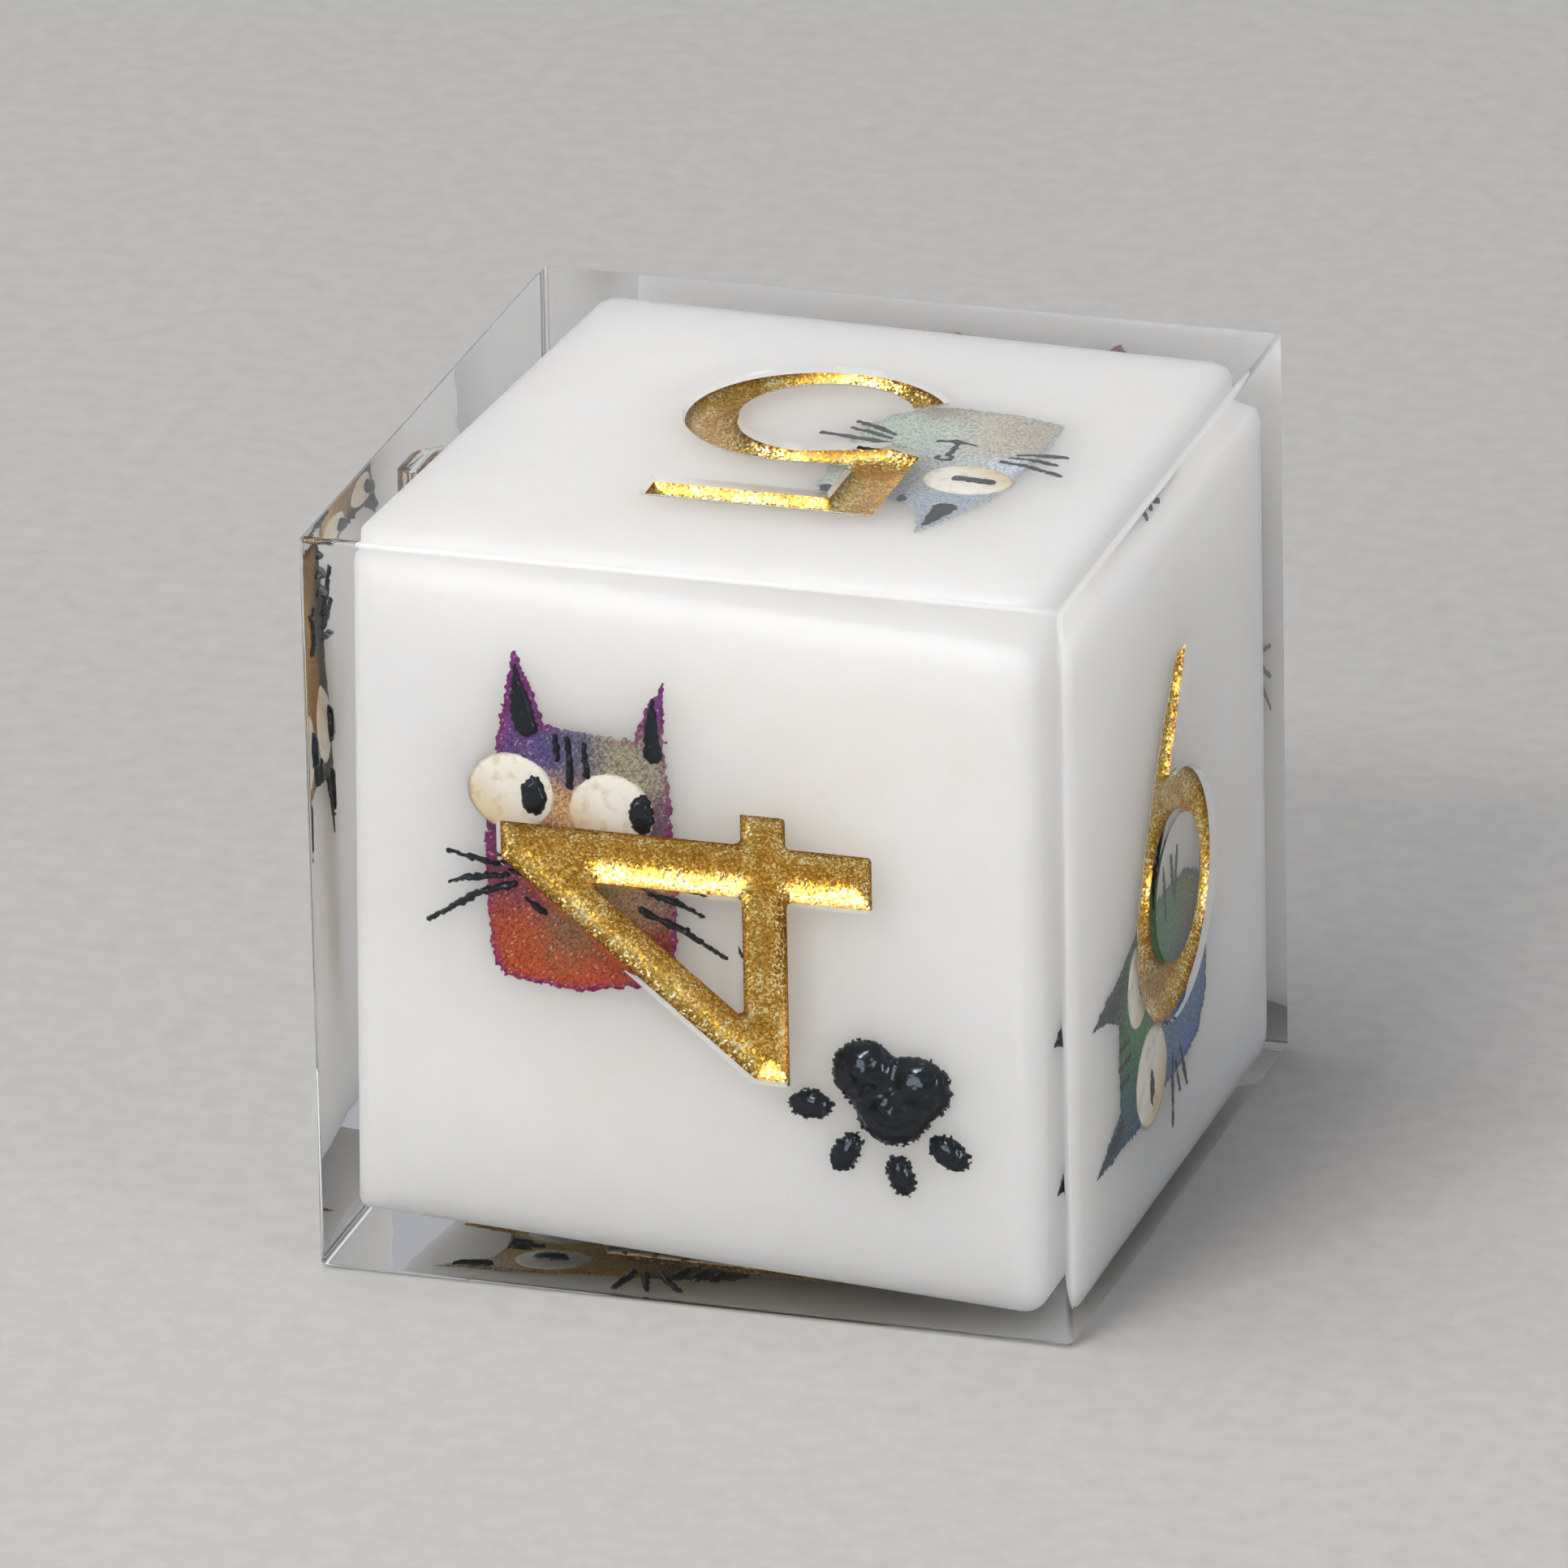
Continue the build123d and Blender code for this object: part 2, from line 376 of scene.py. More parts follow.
# %% Helpers that build a finish
def paint(red, green, blue):
    """A colour as a paint card gives it, 0 to 255, in the linear light that shaders use."""
    parts = [c / 255 for c in (red, green, blue)]
    return (*[c / 12.92 if c <= 0.04045 else ((c + 0.055) / 1.055) ** 2.4 for c in parts], 1.0)


def new_finish(name):
    """A material, with its tree and its main shader."""
    material = bpy.data.materials.new(name)
    material.use_nodes = True
    return material, material.node_tree, material.node_tree.nodes["Principled BSDF"]


def add_node(tree, kind, links=None, **settings):
    """A node with its settings; links gives its inputs, as sockets to join or plain values."""
    node = tree.nodes.new(kind)
    for key, value in settings.items():
        setattr(node, key, value)
    for key, value in (links or {}).items():
        if isinstance(value, bpy.types.NodeSocket):
            tree.links.new(value, node.inputs[key])
        else:
            node.inputs[key].default_value = value
    return node


def grain(tree, size, detail=2.0, kind="ShaderNodeTexNoise", **settings):
    """A noise whose lumps are about size millimetres, fixed to the die."""
    place = add_node(tree, "ShaderNodeTexCoord").outputs["Object"]
    links = {"Vector": place, "Scale": 1 / (size * mm)}
    if kind == "ShaderNodeTexNoise":
        links["Detail"] = detail
    return add_node(tree, kind, links, **settings)


def ramp(tree, factor, stops):
    """A colour ramp over a factor, as (position, colour) stops."""
    node = add_node(tree, "ShaderNodeValToRGB", {"Fac": factor})
    bar = node.color_ramp.elements
    while len(bar) < len(stops):
        bar.new(0.5)
    for element, (position, colour) in zip(bar, stops):
        element.position, element.color = position, colour
    return node.outputs["Color"]


def spread(tree, factor, low, high):
    """A factor of 0 to 1 stretched between two values."""
    return add_node(
        tree, "ShaderNodeMapRange", {"Value": factor, "To Min": low, "To Max": high}
    ).outputs["Result"]


def multiplied(tree, one, other):
    """Two colours multiplied; 0, 6 and 7 are the mix's factor and its two colours."""
    return add_node(
        tree, "ShaderNodeMix", {0: 1.0, 6: one, 7: other}, data_type="RGBA", blend_type="MULTIPLY"
    ).outputs[2]


def bump(tree, height, depth, strength=1.0):
    """A bump whose full height is depth millimetres."""
    return add_node(
        tree, "ShaderNodeBump", {"Height": height, "Distance": depth * mm, "Strength": strength}
    ).outputs["Normal"]


print("a middle grey of 128 is", round(paint(128, 128, 128)[0], 3), "in a shader's light")

# %% Clear resin, with its faint orange peel and polishing haze
clear_resin, tree, shader = new_finish("clear cast resin")
shader.inputs["Base Color"].default_value = (1, 1, 1, 1)
shader.inputs["Transmission Weight"].default_value = 1.0
shader.inputs["IOR"].default_value = 1.50
shader.inputs["Specular Tint"].default_value = (0.4, 0.4, 0.4, 1)
haze = grain(tree, 1.5, 4.0)
tree.links.new(spread(tree, haze.outputs["Fac"], 0.0, 0.03), shader.inputs["Roughness"])
peel = grain(tree, 2.6, 1.0)
tree.links.new(bump(tree, peel.outputs["Fac"], 0.012), shader.inputs["Normal"])
print("clear resin:", len(tree.nodes), "nodes")

# %% Join six sheets with the broken edges
block = bmesh.new()
bmesh.ops.create_cube(block, size=2 * half_die)
bmesh.ops.bevel(
    block, geom=block.edges[:], offset=edge_round, offset_type="OFFSET", segments=4,
    profile=0.5, affect="EDGES", clamp_overlap=False,
)
broad = [f for f in block.faces if f.calc_area() > half_die ** 2]
bmesh.ops.delete(block, geom=broad, context="FACES_ONLY")
for corner in block.verts:
    corner.co.z += half_die
for face, (placed, triangles, inside, _) in sheets.items():
    points = on_face(face, placed[:, 0], placed[:, 1], -sink(inside))
    fresh = [block.verts.new(p) for p in points]
    for triangle in triangles:
        block.faces.new([fresh[i] for i in triangle])
bmesh.ops.remove_doubles(block, verts=block.verts[:], dist=on_the_edge)
bmesh.ops.recalc_face_normals(block, faces=block.faces[:])
open_edges = sum(len(e.link_faces) != 2 for e in block.edges)
block.verts.index_update()
casing_points = [tuple(v.co) for v in block.verts]
# The block hands its faces over in an order that can change from run to run, so they are sorted.
casing_faces = sorted(tuple(v.index for v in f.verts) for f in block.faces)
block.free()
casing = make_piece("casing", casing_points, casing_faces, clear_resin, ["clear_casing"])
keep_flats_flat(casing)
print("open edges in the casing:", open_edges)

# %% [markdown]
# The gold is paint full of mica flakes, brushed into the groove and wiped off the
# face, so it stops just short of the groove's edge. Each flake lies at its own small
# angle, and that is what makes gold paint glitter. A cell pattern gives every flake
# its own tilt. A plain roughness would give a smooth metal that never sparkles.

# %% Gold paint with flakes
flake_size, flake_tilt = 0.042, 0.32


def vector_maths(tree, operation, links):
    """One sum on directions; links gives its inputs."""
    return add_node(tree, "ShaderNodeVectorMath", links, operation=operation).outputs[0]


gold_paint, tree, shader = new_finish("gold flake paint")
shader.inputs["Metallic"].default_value = 1.0
shader.inputs["Coat Weight"].default_value = 0.4
shader.inputs["Coat Roughness"].default_value = 0.22
flakes = grain(tree, flake_size, kind="ShaderNodeTexVoronoi")
tilt = vector_maths(tree, "SUBTRACT", {0: flakes.outputs["Color"], 1: (0.5, 0.5, 0.5)})
tilt = vector_maths(tree, "SCALE", {0: tilt, "Scale": flake_tilt})
lay = add_node(tree, "ShaderNodeNewGeometry").outputs["Normal"]
flake_way = vector_maths(tree, "ADD", {0: lay, 1: tilt})
tree.links.new(vector_maths(tree, "NORMALIZE", {0: flake_way}), shader.inputs["Normal"])
mottle = grain(tree, 0.5, 5.0)
pick = add_node(tree, "ShaderNodeSeparateColor", {"Color": flakes.outputs["Color"]}).outputs[0]
blend = add_node(tree, "ShaderNodeMath", {0: pick, 1: mottle.outputs["Fac"]}, operation="ADD")
blend = add_node(tree, "ShaderNodeMath", {0: blend.outputs[0], 1: 0.5}, operation="MULTIPLY")
gold = ramp(tree, blend.outputs[0], [
    (0.25, paint(170, 120, 30)), (0.5, paint(202, 152, 50)),
    (0.66, paint(232, 190, 90)), (0.74, paint(255, 238, 164)),
])
# The gold's colour is multiplied by painted light kept at its points: painted shade at the groove's edge and
# floor, and a painted highlight on its walls.
painted_gold_light = add_node(tree, "ShaderNodeVertexColor", layer_name="gold_painted_light").outputs["Color"]
tree.links.new(multiplied(tree, gold, painted_gold_light), shader.inputs["Base Color"])
tree.links.new(spread(tree, pick, 0.20, 0.36), shader.inputs["Roughness"])
print("gold paint:", len(tree.nodes), "nodes")

# %% A skin of gold in each groove, with painted shade at its edge and on its floor and a painted highlight on its walls
paint_over = 0.020
paint_under = 0.015
paint_from = 0.9 * rows[0]
wall_from, wall_to, floor_from = 0.14, 0.28, 0.50
edge_painted_shade, wall_painted_highlight, floor_painted_shade = (0.50, 0.36, 0.20), (1.02, 1.15, 1.8), (0.82, 0.75, 0.60)


def tint_points(piece, layer_name, colours):
    """Stores a colour at every point of a piece."""
    layer = piece.data.color_attributes.new(name=layer_name, type="FLOAT_COLOR", domain="POINT")
    layer.data.foreach_set("color", np.hstack((colours, np.ones((len(colours), 1)))).ravel())


for face, (word, _) in numerals.items():
    placed, triangles, inside, loops = sheets[face]
    middles = placed[np.array(triangles)].mean(axis=1)
    in_stroke = is_inside(middles, loops)
    gilt = [t for t, ok in zip(triangles, in_stroke) if ok and min(inside[list(t)]) > paint_from]
    used = sorted({i for t in gilt for i in t})
    renumber = {old: new for new, old in enumerate(used)}
    gilt = [tuple(renumber[i] for i in t) for t in gilt]
    x, y = placed[used].T
    depth = sink(inside[used])
    points, polygons = closed_skin(
        on_face(face, x, y, paint_over - depth), gilt, on_face(face, x, y, -depth - paint_under)
    )
    gilding = make_piece(
        f"gilding_{word}", points, polygons, gold_paint, [f"numeral_{word}_gilding"]
    )
    well_in = np.tile(inside[used], 2)
    # Colour factors across the groove: painted shade browning the edge, a painted highlight on the walls, and
    # painted shade on the floor.
    painted_gold_light = [
        np.interp(well_in, (rows[0], wall_from, wall_to, floor_from), (thin, wall, wall, low))
        for thin, wall, low in zip(edge_painted_shade, wall_painted_highlight, floor_painted_shade)
    ]
    tint_points(gilding, "gold_painted_light", np.stack(painted_gold_light, axis=1))

# %% [markdown]
# The white block was cast first, in its own mould with well rounded edges, then
# dropped in the clear resin by hand. It lies a little askew, so each of its faces is a
# plane at its own depth and lean. The planes' corners make a lopsided box, and a bevel
# rounds its edges. Resin wets it, so it looks matt and chalky, with no gloss.

# %% How deep each of the block's faces lies, and its slope across and up
walls = {
    "front": (0.85, 0.0, 0.0),
    "back": (0.80, 0.0, 0.0),
    "left": (1.15, -0.0594, 0.0201),
    "right": (0.72, 0.0, 0.0),
    "top": (0.85, 0.0507, 0.0),
    "bottom": (0.68, -0.0542, 0.0),
}
core_round = 0.60


def on_core(face, across, up, lift):
    """Points over a face of the white block; lift is how far they stand out of it."""
    wall, slope_across, slope_up = walls[face]
    across, up = np.asarray(across, float), np.asarray(up, float)
    return on_face(face, across, up, lift - wall - slope_across * across - slope_up * up)


def core_corner(*three):
    """Where three of the block's faces meet."""
    normals, reach = [], []
    for face in three:
        a, b, c = on_core(face, np.array((0, 1, 0)), np.array((0, 0, 1)), 0.0)
        normal = np.cross(b - a, c - a)
        normals.append(normal)
        reach.append(normal @ a)
    return np.linalg.solve(np.array(normals), np.array(reach))


corners = [
    core_corner(front_back, left_right, top_bottom)
    for front_back in ("front", "back")
    for left_right in ("left", "right")
    for top_bottom in ("bottom", "top")
]
print("front left bottom corner, mm:", corners[0].round(2).tolist())

# %% White resin, chalky and very faintly mottled
white_resin, tree, shader = new_finish("white cast resin")
shader.inputs["Specular IOR Level"].default_value = 0.12
shader.inputs["Roughness"].default_value = 0.55
shader.inputs["Subsurface Weight"].default_value = 1.0
shader.inputs["Subsurface Radius"].default_value = (1.0, 0.95, 0.9)
shader.inputs["Subsurface Scale"].default_value = 4.0 * mm
clouds = grain(tree, 3.5, 5.0)
white = ramp(tree, clouds.outputs["Fac"], [(0.25, paint(244, 241, 236)), (0.75, paint(252, 250, 247))])
tree.links.new(white, shader.inputs["Base Color"])
skin = grain(tree, 0.35, 6.0)
tree.links.new(bump(tree, skin.outputs["Fac"], 0.02, 0.6), shader.inputs["Normal"])
print("white resin:", len(tree.nodes), "nodes")

# %% Cast the white block
# Two edges came crisper out of the mould: they get this part of the full rounding.
crisp_edges = {("bottom", "left"): 0.25, ("left", "top"): 0.30}
lump = bmesh.new()
bmesh.ops.convex_hull(lump, input=[lump.verts.new(c) for c in corners])
bmesh.ops.dissolve_limit(lump, angle_limit=math.radians(1.0), verts=lump.verts[:], edges=lump.edges[:])
bmesh.ops.recalc_face_normals(lump, faces=lump.faces[:])
rounding = lump.edges.layers.float.new("bevel_weight_edge")
for edge in lump.edges:
    sides = sorted(
        max(faces, key=lambda name: side.normal.dot(Vector(faces[name][0]))) for side in edge.link_faces
    )
    edge[rounding] = crisp_edges.get(tuple(sides), 1.0)
for corner in lump.verts:
    corner.co *= mm
block_mesh = bpy.data.meshes.new("white_block")
lump.to_mesh(block_mesh)
lump.free()
block_mesh.shade_smooth()
block_mesh.materials.append(white_resin)
core = bpy.data.objects.new("white_block", block_mesh)
bpy.context.scene.collection.objects.link(core)
ease = core.modifiers.new("ease", "BEVEL")
ease.limit_method, ease.offset_type = "WEIGHT", "OFFSET"
ease.width, ease.segments = core_round * mm, 8
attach(core, "root")
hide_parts("white_core")
keep_flats_flat(core)
print("white_block:", len(core.data.polygons), "faces")

# %% [markdown]
# The cats are printed in thick ink that stands up from the white block. Three inks go
# on in turn: a speckled coat, cream eyes that dome up over it, and tarry black lines.
# Flat decals would lose the way the lines catch the light, so each ink is a little
# closed relief. It is drawn as a field that says how far inside the ink a spot is, and
# the relief is a fine grid of cells wherever that field is above nothing.

# %% Uneven fields, so no ink has a clean edge
lattice_side, lattice_start = 97, 40.5


def unevenness(x, y, size, seed):
    """Smooth noise of -1 to 1 with lumps of about size millimetres."""
    lattice = np.random.default_rng(seed).uniform(-1, 1, (lattice_side, lattice_side))
    gx, gy = x / size + lattice_start, y / size + lattice_start
    ix, iy = np.floor(gx).astype(int), np.floor(gy).astype(int)
    fx, fy = gx - ix, gy - iy
    fx, fy = fx * fx * (3 - 2 * fx), fy * fy * (3 - 2 * fy)

    def at(dx, dy):
        return lattice[(ix + dx) % lattice_side, (iy + dy) % lattice_side]

    return (at(0, 0) * (1 - fx) + at(1, 0) * fx) * (1 - fy) + (at(0, 1) * (1 - fx) + at(1, 1) * fx) * fy


def ellipse_field(x, y, cx, cy, rx, ry, turn=0.0):
    """About how far inside an ellipse a spot is, in millimetres."""
    t = math.radians(turn)
    dx, dy = x - cx, y - cy
    a, b = dx * math.cos(t) + dy * math.sin(t), dy * math.cos(t) - dx * math.sin(t)
    return (1 - np.sqrt((a / rx) ** 2 + (b / ry) ** 2)) * min(rx, ry)


def stroke_field(x, y, stroke):
    """How far inside a pen stroke a spot is; a stroke is (x, y, half width) points."""
    best = np.full(np.shape(x), -1e3)
    for (ax, ay, ar), (bx, by, br) in zip(stroke, stroke[1:]):
        length = max((bx - ax) ** 2 + (by - ay) ** 2, 1e-9)
        t = np.clip(((x - ax) * (bx - ax) + (y - ay) * (by - ay)) / length, 0, 1)
        away = np.hypot(x - ax - t * (bx - ax), y - ay - t * (by - ay))
        best = np.maximum(best, ar + t * (br - ar) - away)
    return best


def shape_field(x, y, loop):
    """How far inside a closed shape a spot is."""
    spots = np.stack((np.ravel(x), np.ravel(y)), axis=1)
    away = edge_distance(spots, [loop])
    return np.where(is_inside(spots, [loop]), away, -away).reshape(np.shape(x))


sample = unevenness(np.arange(9.0), np.zeros(9), 0.5, 0)
print("nine samples of unevenness run from", sample.min().round(2), "to", sample.max().round(2))

# %% Turn a field into a closed relief on the white block
ink_root = 0.02
shore_shift = 0.6
least_slope = 0.2


def print_ink(
    name, face, place, turn, window, field, lift, material, slot, node, cell=0.045, colour=None
):
    """Prints one ink, as a grid of cells whose outer points slide onto the ink's edge.

    field and lift take x and y in the picture's own upright directions. An edge point
    slides by up to shore_shift of a cell, and least_slope keeps a flat spot from sending
    it too far.
    """
    left, low, right, high = window
    x, y = np.meshgrid(np.arange(left, right, cell), np.arange(low, high, cell), indexing="ij")
    depth = field(x, y)
    mid = (depth[:-1, :-1] + depth[1:, :-1] + depth[:-1, 1:] + depth[1:, 1:]) / 4
    kept = mid > 0
    touched = np.zeros(x.shape, int)
    for dx in (0, 1):
        for dy in (0, 1):
            touched[dx : dx + kept.shape[0], dy : dy + kept.shape[1]] += kept
    edge = (touched > 0) & (touched < 4)
    slope_x, slope_y = np.gradient(depth, cell)
    steep = np.maximum(slope_x ** 2 + slope_y ** 2, least_slope)
    limit = shore_shift * cell
    x = x + np.where(edge, np.clip(-depth * slope_x / steep, -limit, limit), 0)
    y = y + np.where(edge, np.clip(-depth * slope_y / steep, -limit, limit), 0)
    depth = np.where(edge, 0.0, np.maximum(depth, 0))
    number = np.cumsum((touched > 0).ravel()).reshape(x.shape) - 1
    cells = [
        (int(number[i, j]), int(number[i + 1, j]), int(number[i + 1, j + 1]), int(number[i, j + 1]))
        for i, j in zip(*np.nonzero(kept))
    ]
    used = touched > 0
    px, py, rise = x[used], y[used], lift(x, y, depth)[used]
    across, up = (turned(np.stack((px, py), axis=1), turn) + np.array(place)).T
    points, polygons = closed_skin(
        on_core(face, across, up, rise), cells, on_core(face, across, up, np.full(len(px), -ink_root))
    )
    piece = make_piece(name, points, polygons, material, [node], crease=60)
    if colour is not None:
        tint = np.asarray(colour(px, py), float)
        tint_points(piece, "ink_colour", np.vstack((tint, tint)))
    return piece


# %% [markdown]
# Printed ink has two kinds of unevenness. The dots of the print change colour from
# point to point, and the ink's skin is slightly lumpy. The first is painted into each
# point of the relief, and the second is a bump. The black lines are thick enough to
# shine like tar, with a cold glint from a bluish reflection tint and bluish patches of
# painted glint, and the cream of the eyes is satin.

# %% The speckled coat, in each cat's own colours
def coat_finish(name):
    """Satin ink that takes its colour from the relief's points, speckled finer than they are."""
    material, tree, shader = new_finish(name)
    tint = add_node(tree, "ShaderNodeVertexColor", layer_name="ink_colour").outputs["Color"]
    dots = grain(tree, 0.06, 3.0)
    shade = ramp(tree, dots.outputs["Fac"], [
        (0.36, (0.6, 0.6, 0.64, 1)), (0.5, (1, 1, 1, 1)), (0.62, (1.15, 1.13, 1.1, 1)),
    ])
    tree.links.new(multiplied(tree, tint, shade), shader.inputs["Base Color"])
    shader.inputs["Roughness"].default_value = 0.5
    shader.inputs["Specular IOR Level"].default_value = 0.25
    tree.links.new(bump(tree, dots.outputs["Fac"], 0.015, 0.5), shader.inputs["Normal"])
    return material


# %% The cream of the eyes and the black of the lines
cream_ink, tree, shader = new_finish("cream eye ink")
washes = grain(tree, 0.3, 6.0)
wash = ramp(tree, washes.outputs["Fac"], [(0.32, (0.84, 0.78, 0.68, 1)), (0.48, (1, 1, 1, 1))])
ball = add_node(tree, "ShaderNodeVertexColor", layer_name="ink_colour").outputs["Color"]
tree.links.new(multiplied(tree, ball, wash), shader.inputs["Base Color"])
shader.inputs["Roughness"].default_value = 0.38
shader.inputs["Specular IOR Level"].default_value = 0.4
tree.links.new(bump(tree, washes.outputs["Fac"], 0.02, 0.5), shader.inputs["Normal"])
print("cream ink:", len(tree.nodes), "nodes")

black_ink, tree, shader = new_finish("tarry black ink")
beads = grain(tree, 0.16, 3.0)
# Near-black ink colour, whose bluish top stop is a painted glint in patches.
tar_and_painted_glint = ramp(tree, beads.outputs["Fac"], [
    (0.35, paint(3, 3, 4)), (0.58, paint(6, 7, 10)), (0.74, paint(34, 42, 66)),
])
tree.links.new(tar_and_painted_glint, shader.inputs["Base Color"])
tree.links.new(spread(tree, beads.outputs["Fac"], 0.02, 0.12), shader.inputs["Roughness"])
shader.inputs["Specular IOR Level"].default_value = 0.42
shader.inputs["Specular Tint"].default_value = (0.68, 0.83, 1.0, 1)
tree.links.new(bump(tree, beads.outputs["Fac"], 0.02, 0.35), shader.inputs["Normal"])
print("black ink:", len(tree.nodes), "nodes")

# %% [markdown]
# Each cat is the same simple drawing in its own colours: a tall loaf of a head with
# two pointed ears, big round eyes set high and a little uneven, a short nose and
# mouth, and three whiskers a side. Where a drawing has its own proportions, they are
# listed as points about the middle of the head. The rest come from one plain pattern.
#
# An eye is a middle and two radii, and so is a pupil. A line is points with the pen's
# half width at each. A colour is a spot, how far it spreads, and its shade. The wash
# thins a coat with white, or deepens it where it is below nothing. The rim is the
# colour that gathers along the coat's edge, and it fades out near the rim's gap.

# %% The purple and orange cat, beside the four
cats = {}
cats["front"] = {
    "place": (-2.38, 1.20), "turn": 0, "coat": "purple_coat_ink",
    "head": [
        (-1.99, 0.57), (-1.74, 2.37), (-1.59, 3.17), (-1.29, 4.67), (-0.84, 3.57), (-0.69, 3.07),
        (-0.39, 3.00), (0.71, 2.90), (1.21, 2.87), (1.46, 3.57), (1.86, 4.17), (1.87, 2.57), (1.96, 1.57),
        (2.03, 0.60), (2.02, -2.15), (1.70, -2.42), (1.21, -2.50), (0.01, -2.71), (-0.79, -2.66),
        (-1.66, -2.52), (-1.82, -2.3), (-1.94, -1.60),
    ],
    "eyes": [(-1.39, 1.52, 0.92, 0.86), (0.71, 1.27, 0.92, 0.86)],
    "pupils": [(-0.91, 1.49, 0.28, 0.42), (1.36, 1.29, 0.26, 0.43)],
    "lines": [
        [(-1.27, 4.30, 0.04), (-1.19, 3.62, 0.20), (-1.06, 3.00, 0.27)],
        [(1.62, 3.80, 0.04), (1.58, 3.20, 0.15), (1.62, 2.62, 0.20)],
        [(-0.44, 2.80, 0.07), (-0.40, 2.30, 0.08)],
        [(-0.17, 2.78, 0.08), (-0.15, 1.77, 0.09)],
        [(0.16, 2.70, 0.07), (0.20, 2.05, 0.08)],
        [(-1.14, -0.78, 0.06), (-0.90, -0.95, 0.09), (-0.74, -1.08, 0.06)],
        [(-1.72, -0.08, 0.07), (-2.30, -0.02, 0.06), (-2.79, 0.10, 0.04)],
        [(-1.55, -0.30, 0.08), (-2.20, -0.42, 0.07), (-2.79, -0.60, 0.04)],
        [(-1.39, -0.50, 0.09), (-2.09, -0.73, 0.08), (-3.24, -1.46, 0.05)],
        [(1.51, -0.43, 0.08), (2.05, -0.55, 0.07), (2.61, -0.80, 0.04)],
        [(1.31, -0.80, 0.09), (2.20, -1.15, 0.08), (3.06, -1.66, 0.04)],
        [(0.60, -1.42, 0.06), (0.95, -1.60, 0.07), (1.20, -1.66, 0.05)],
    ],
    "colours": [
        (-1.35, 3.60, 0.7, (112, 62, 138)), (-1.30, 2.60, 0.5, (120, 74, 140)),
        (-0.60, 2.55, 0.6, (92, 88, 142)), (0.10, 2.50, 0.5, (104, 100, 130)),
        (0.90, 2.45, 0.6, (176, 168, 136)), (1.55, 2.45, 0.4, (170, 160, 140)),
        (1.60, 3.40, 0.5, (120, 66, 132)), (-0.40, 1.40, 0.4, (226, 176, 118)),
        (1.80, 1.20, 0.4, (120, 90, 110)), (-1.20, -0.30, 0.7, (120, 60, 90)),
        (-1.20, -1.60, 0.8, (196, 82, 34)), (-0.20, -1.45, 0.55, (122, 118, 86)),
        (0.90, -0.70, 0.6, (196, 164, 116)), (0.40, -2.25, 0.7, (198, 78, 34)),
        (1.30, -1.80, 0.7, (158, 58, 46)), (0.20, 0.20, 0.6, (206, 170, 120)),
        (1.60, -0.60, 0.4, (140, 110, 96)),
    ],
    "rim": (142, 22, 112), "rim_gap": (0.3, 2.90),
}
print("front cat:", len(cats["front"]["lines"]), "pen strokes")

# %% The grey and green cat, beside the five
cats["top"] = {
    "place": (3.10, 0.40), "turn": 180, "coat": "grey_green_coat_ink", "wash": 0.22,
    "head": [
        (-1.78, 0.20), (-1.55, 2.10), (-1.30, 2.85), (-0.60, 4.35), (-0.30, 3.20), (0.10, 2.72),
        (1.20, 2.70), (1.50, 3.05), (1.78, 3.62), (2.05, 2.90), (2.12, 1.40), (2.08, 0.0), (1.98, -1.20),
        (1.66, -1.85), (0.95, -2.45), (0.10, -2.52), (-0.90, -2.46), (-1.84, -2.16), (-1.88, -1.0),
    ],
    "eyes": [(-0.80, 1.27, 0.95, 0.80), (1.20, 1.30, 0.55, 0.62)],
    "pupils": [(1.40, 1.30, 0.30, 0.13)],
    "lines": [
        [(-0.80, 2.85, 0.26), (-0.72, 3.30, 0.18), (-0.64, 3.95, 0.03)],
        [(1.86, 2.40, 0.12), (1.80, 2.75, 0.10), (1.79, 3.20, 0.03)],
        [(0.18, 2.62, 0.09), (0.22, 2.38, 0.05)],
        [(0.55, 2.62, 0.06), (0.55, 2.30, 0.05)],
        [(-0.58, 1.27, 0.12), (-1.28, 1.30, 0.13)],
        [(0.40, -0.62, 0.05), (0.05, -0.70, 0.08), (-0.42, -0.60, 0.05)],
        [(-0.04, -0.65, 0.08), (-0.03, 0.05, 0.08)],
        [
            (0.12, 0.10, 0.05), (0.16, 0.28, 0.05), (0.02, 0.38, 0.05), (-0.13, 0.28, 0.07),
            (-0.12, 0.10, 0.07),
        ],
        [(1.30, -0.22, 0.11), (1.70, -0.30, 0.09), (2.80, -0.44, 0.05)],
        [(1.35, -0.50, 0.06), (1.80, -0.70, 0.08), (2.30, -0.85, 0.04)],
        [(1.32, -0.72, 0.06), (1.75, -1.00, 0.09), (2.25, -1.22, 0.05)],
        [(-1.40, -0.33, 0.06), (-1.90, -0.46, 0.07), (-2.38, -0.48, 0.05)],
        [(-1.30, -0.18, 0.05), (-1.80, -0.16, 0.07), (-2.28, -0.06, 0.05)],
        [(-1.18, 0.10, 0.08), (-1.80, 0.20, 0.07), (-2.55, 0.50, 0.05)],
    ],
    "colours": [
        (1.60, -1.00, 0.9, (168, 196, 174)), (1.90, 1.20, 0.8, (184, 204, 188)),
        (0.80, -1.30, 0.6, (188, 208, 192)), (0.60, -2.20, 0.5, (168, 154, 122)),
        (-0.30, -2.10, 0.5, (184, 178, 156)), (-1.40, -1.70, 0.8, (170, 156, 130)),
        (-0.70, -0.90, 0.5, (200, 184, 150)), (0.10, 0.20, 0.6, (184, 194, 190)),
        (0.30, 1.60, 0.6, (146, 158, 154)), (-0.60, 2.80, 0.7, (140, 164, 190)),
        (0.10, 2.50, 0.5, (146, 162, 182)), (-1.50, 0.45, 0.4, (200, 216, 236)),
        (0.00, -1.20, 0.5, (188, 202, 188)), (-0.60, 3.80, 0.5, (120, 138, 166)),
    ],
    "rim": (156, 164, 158), "rim_gap": (0.3, 3.05),
}
print("top cat:", len(cats["top"]["lines"]), "pen strokes")

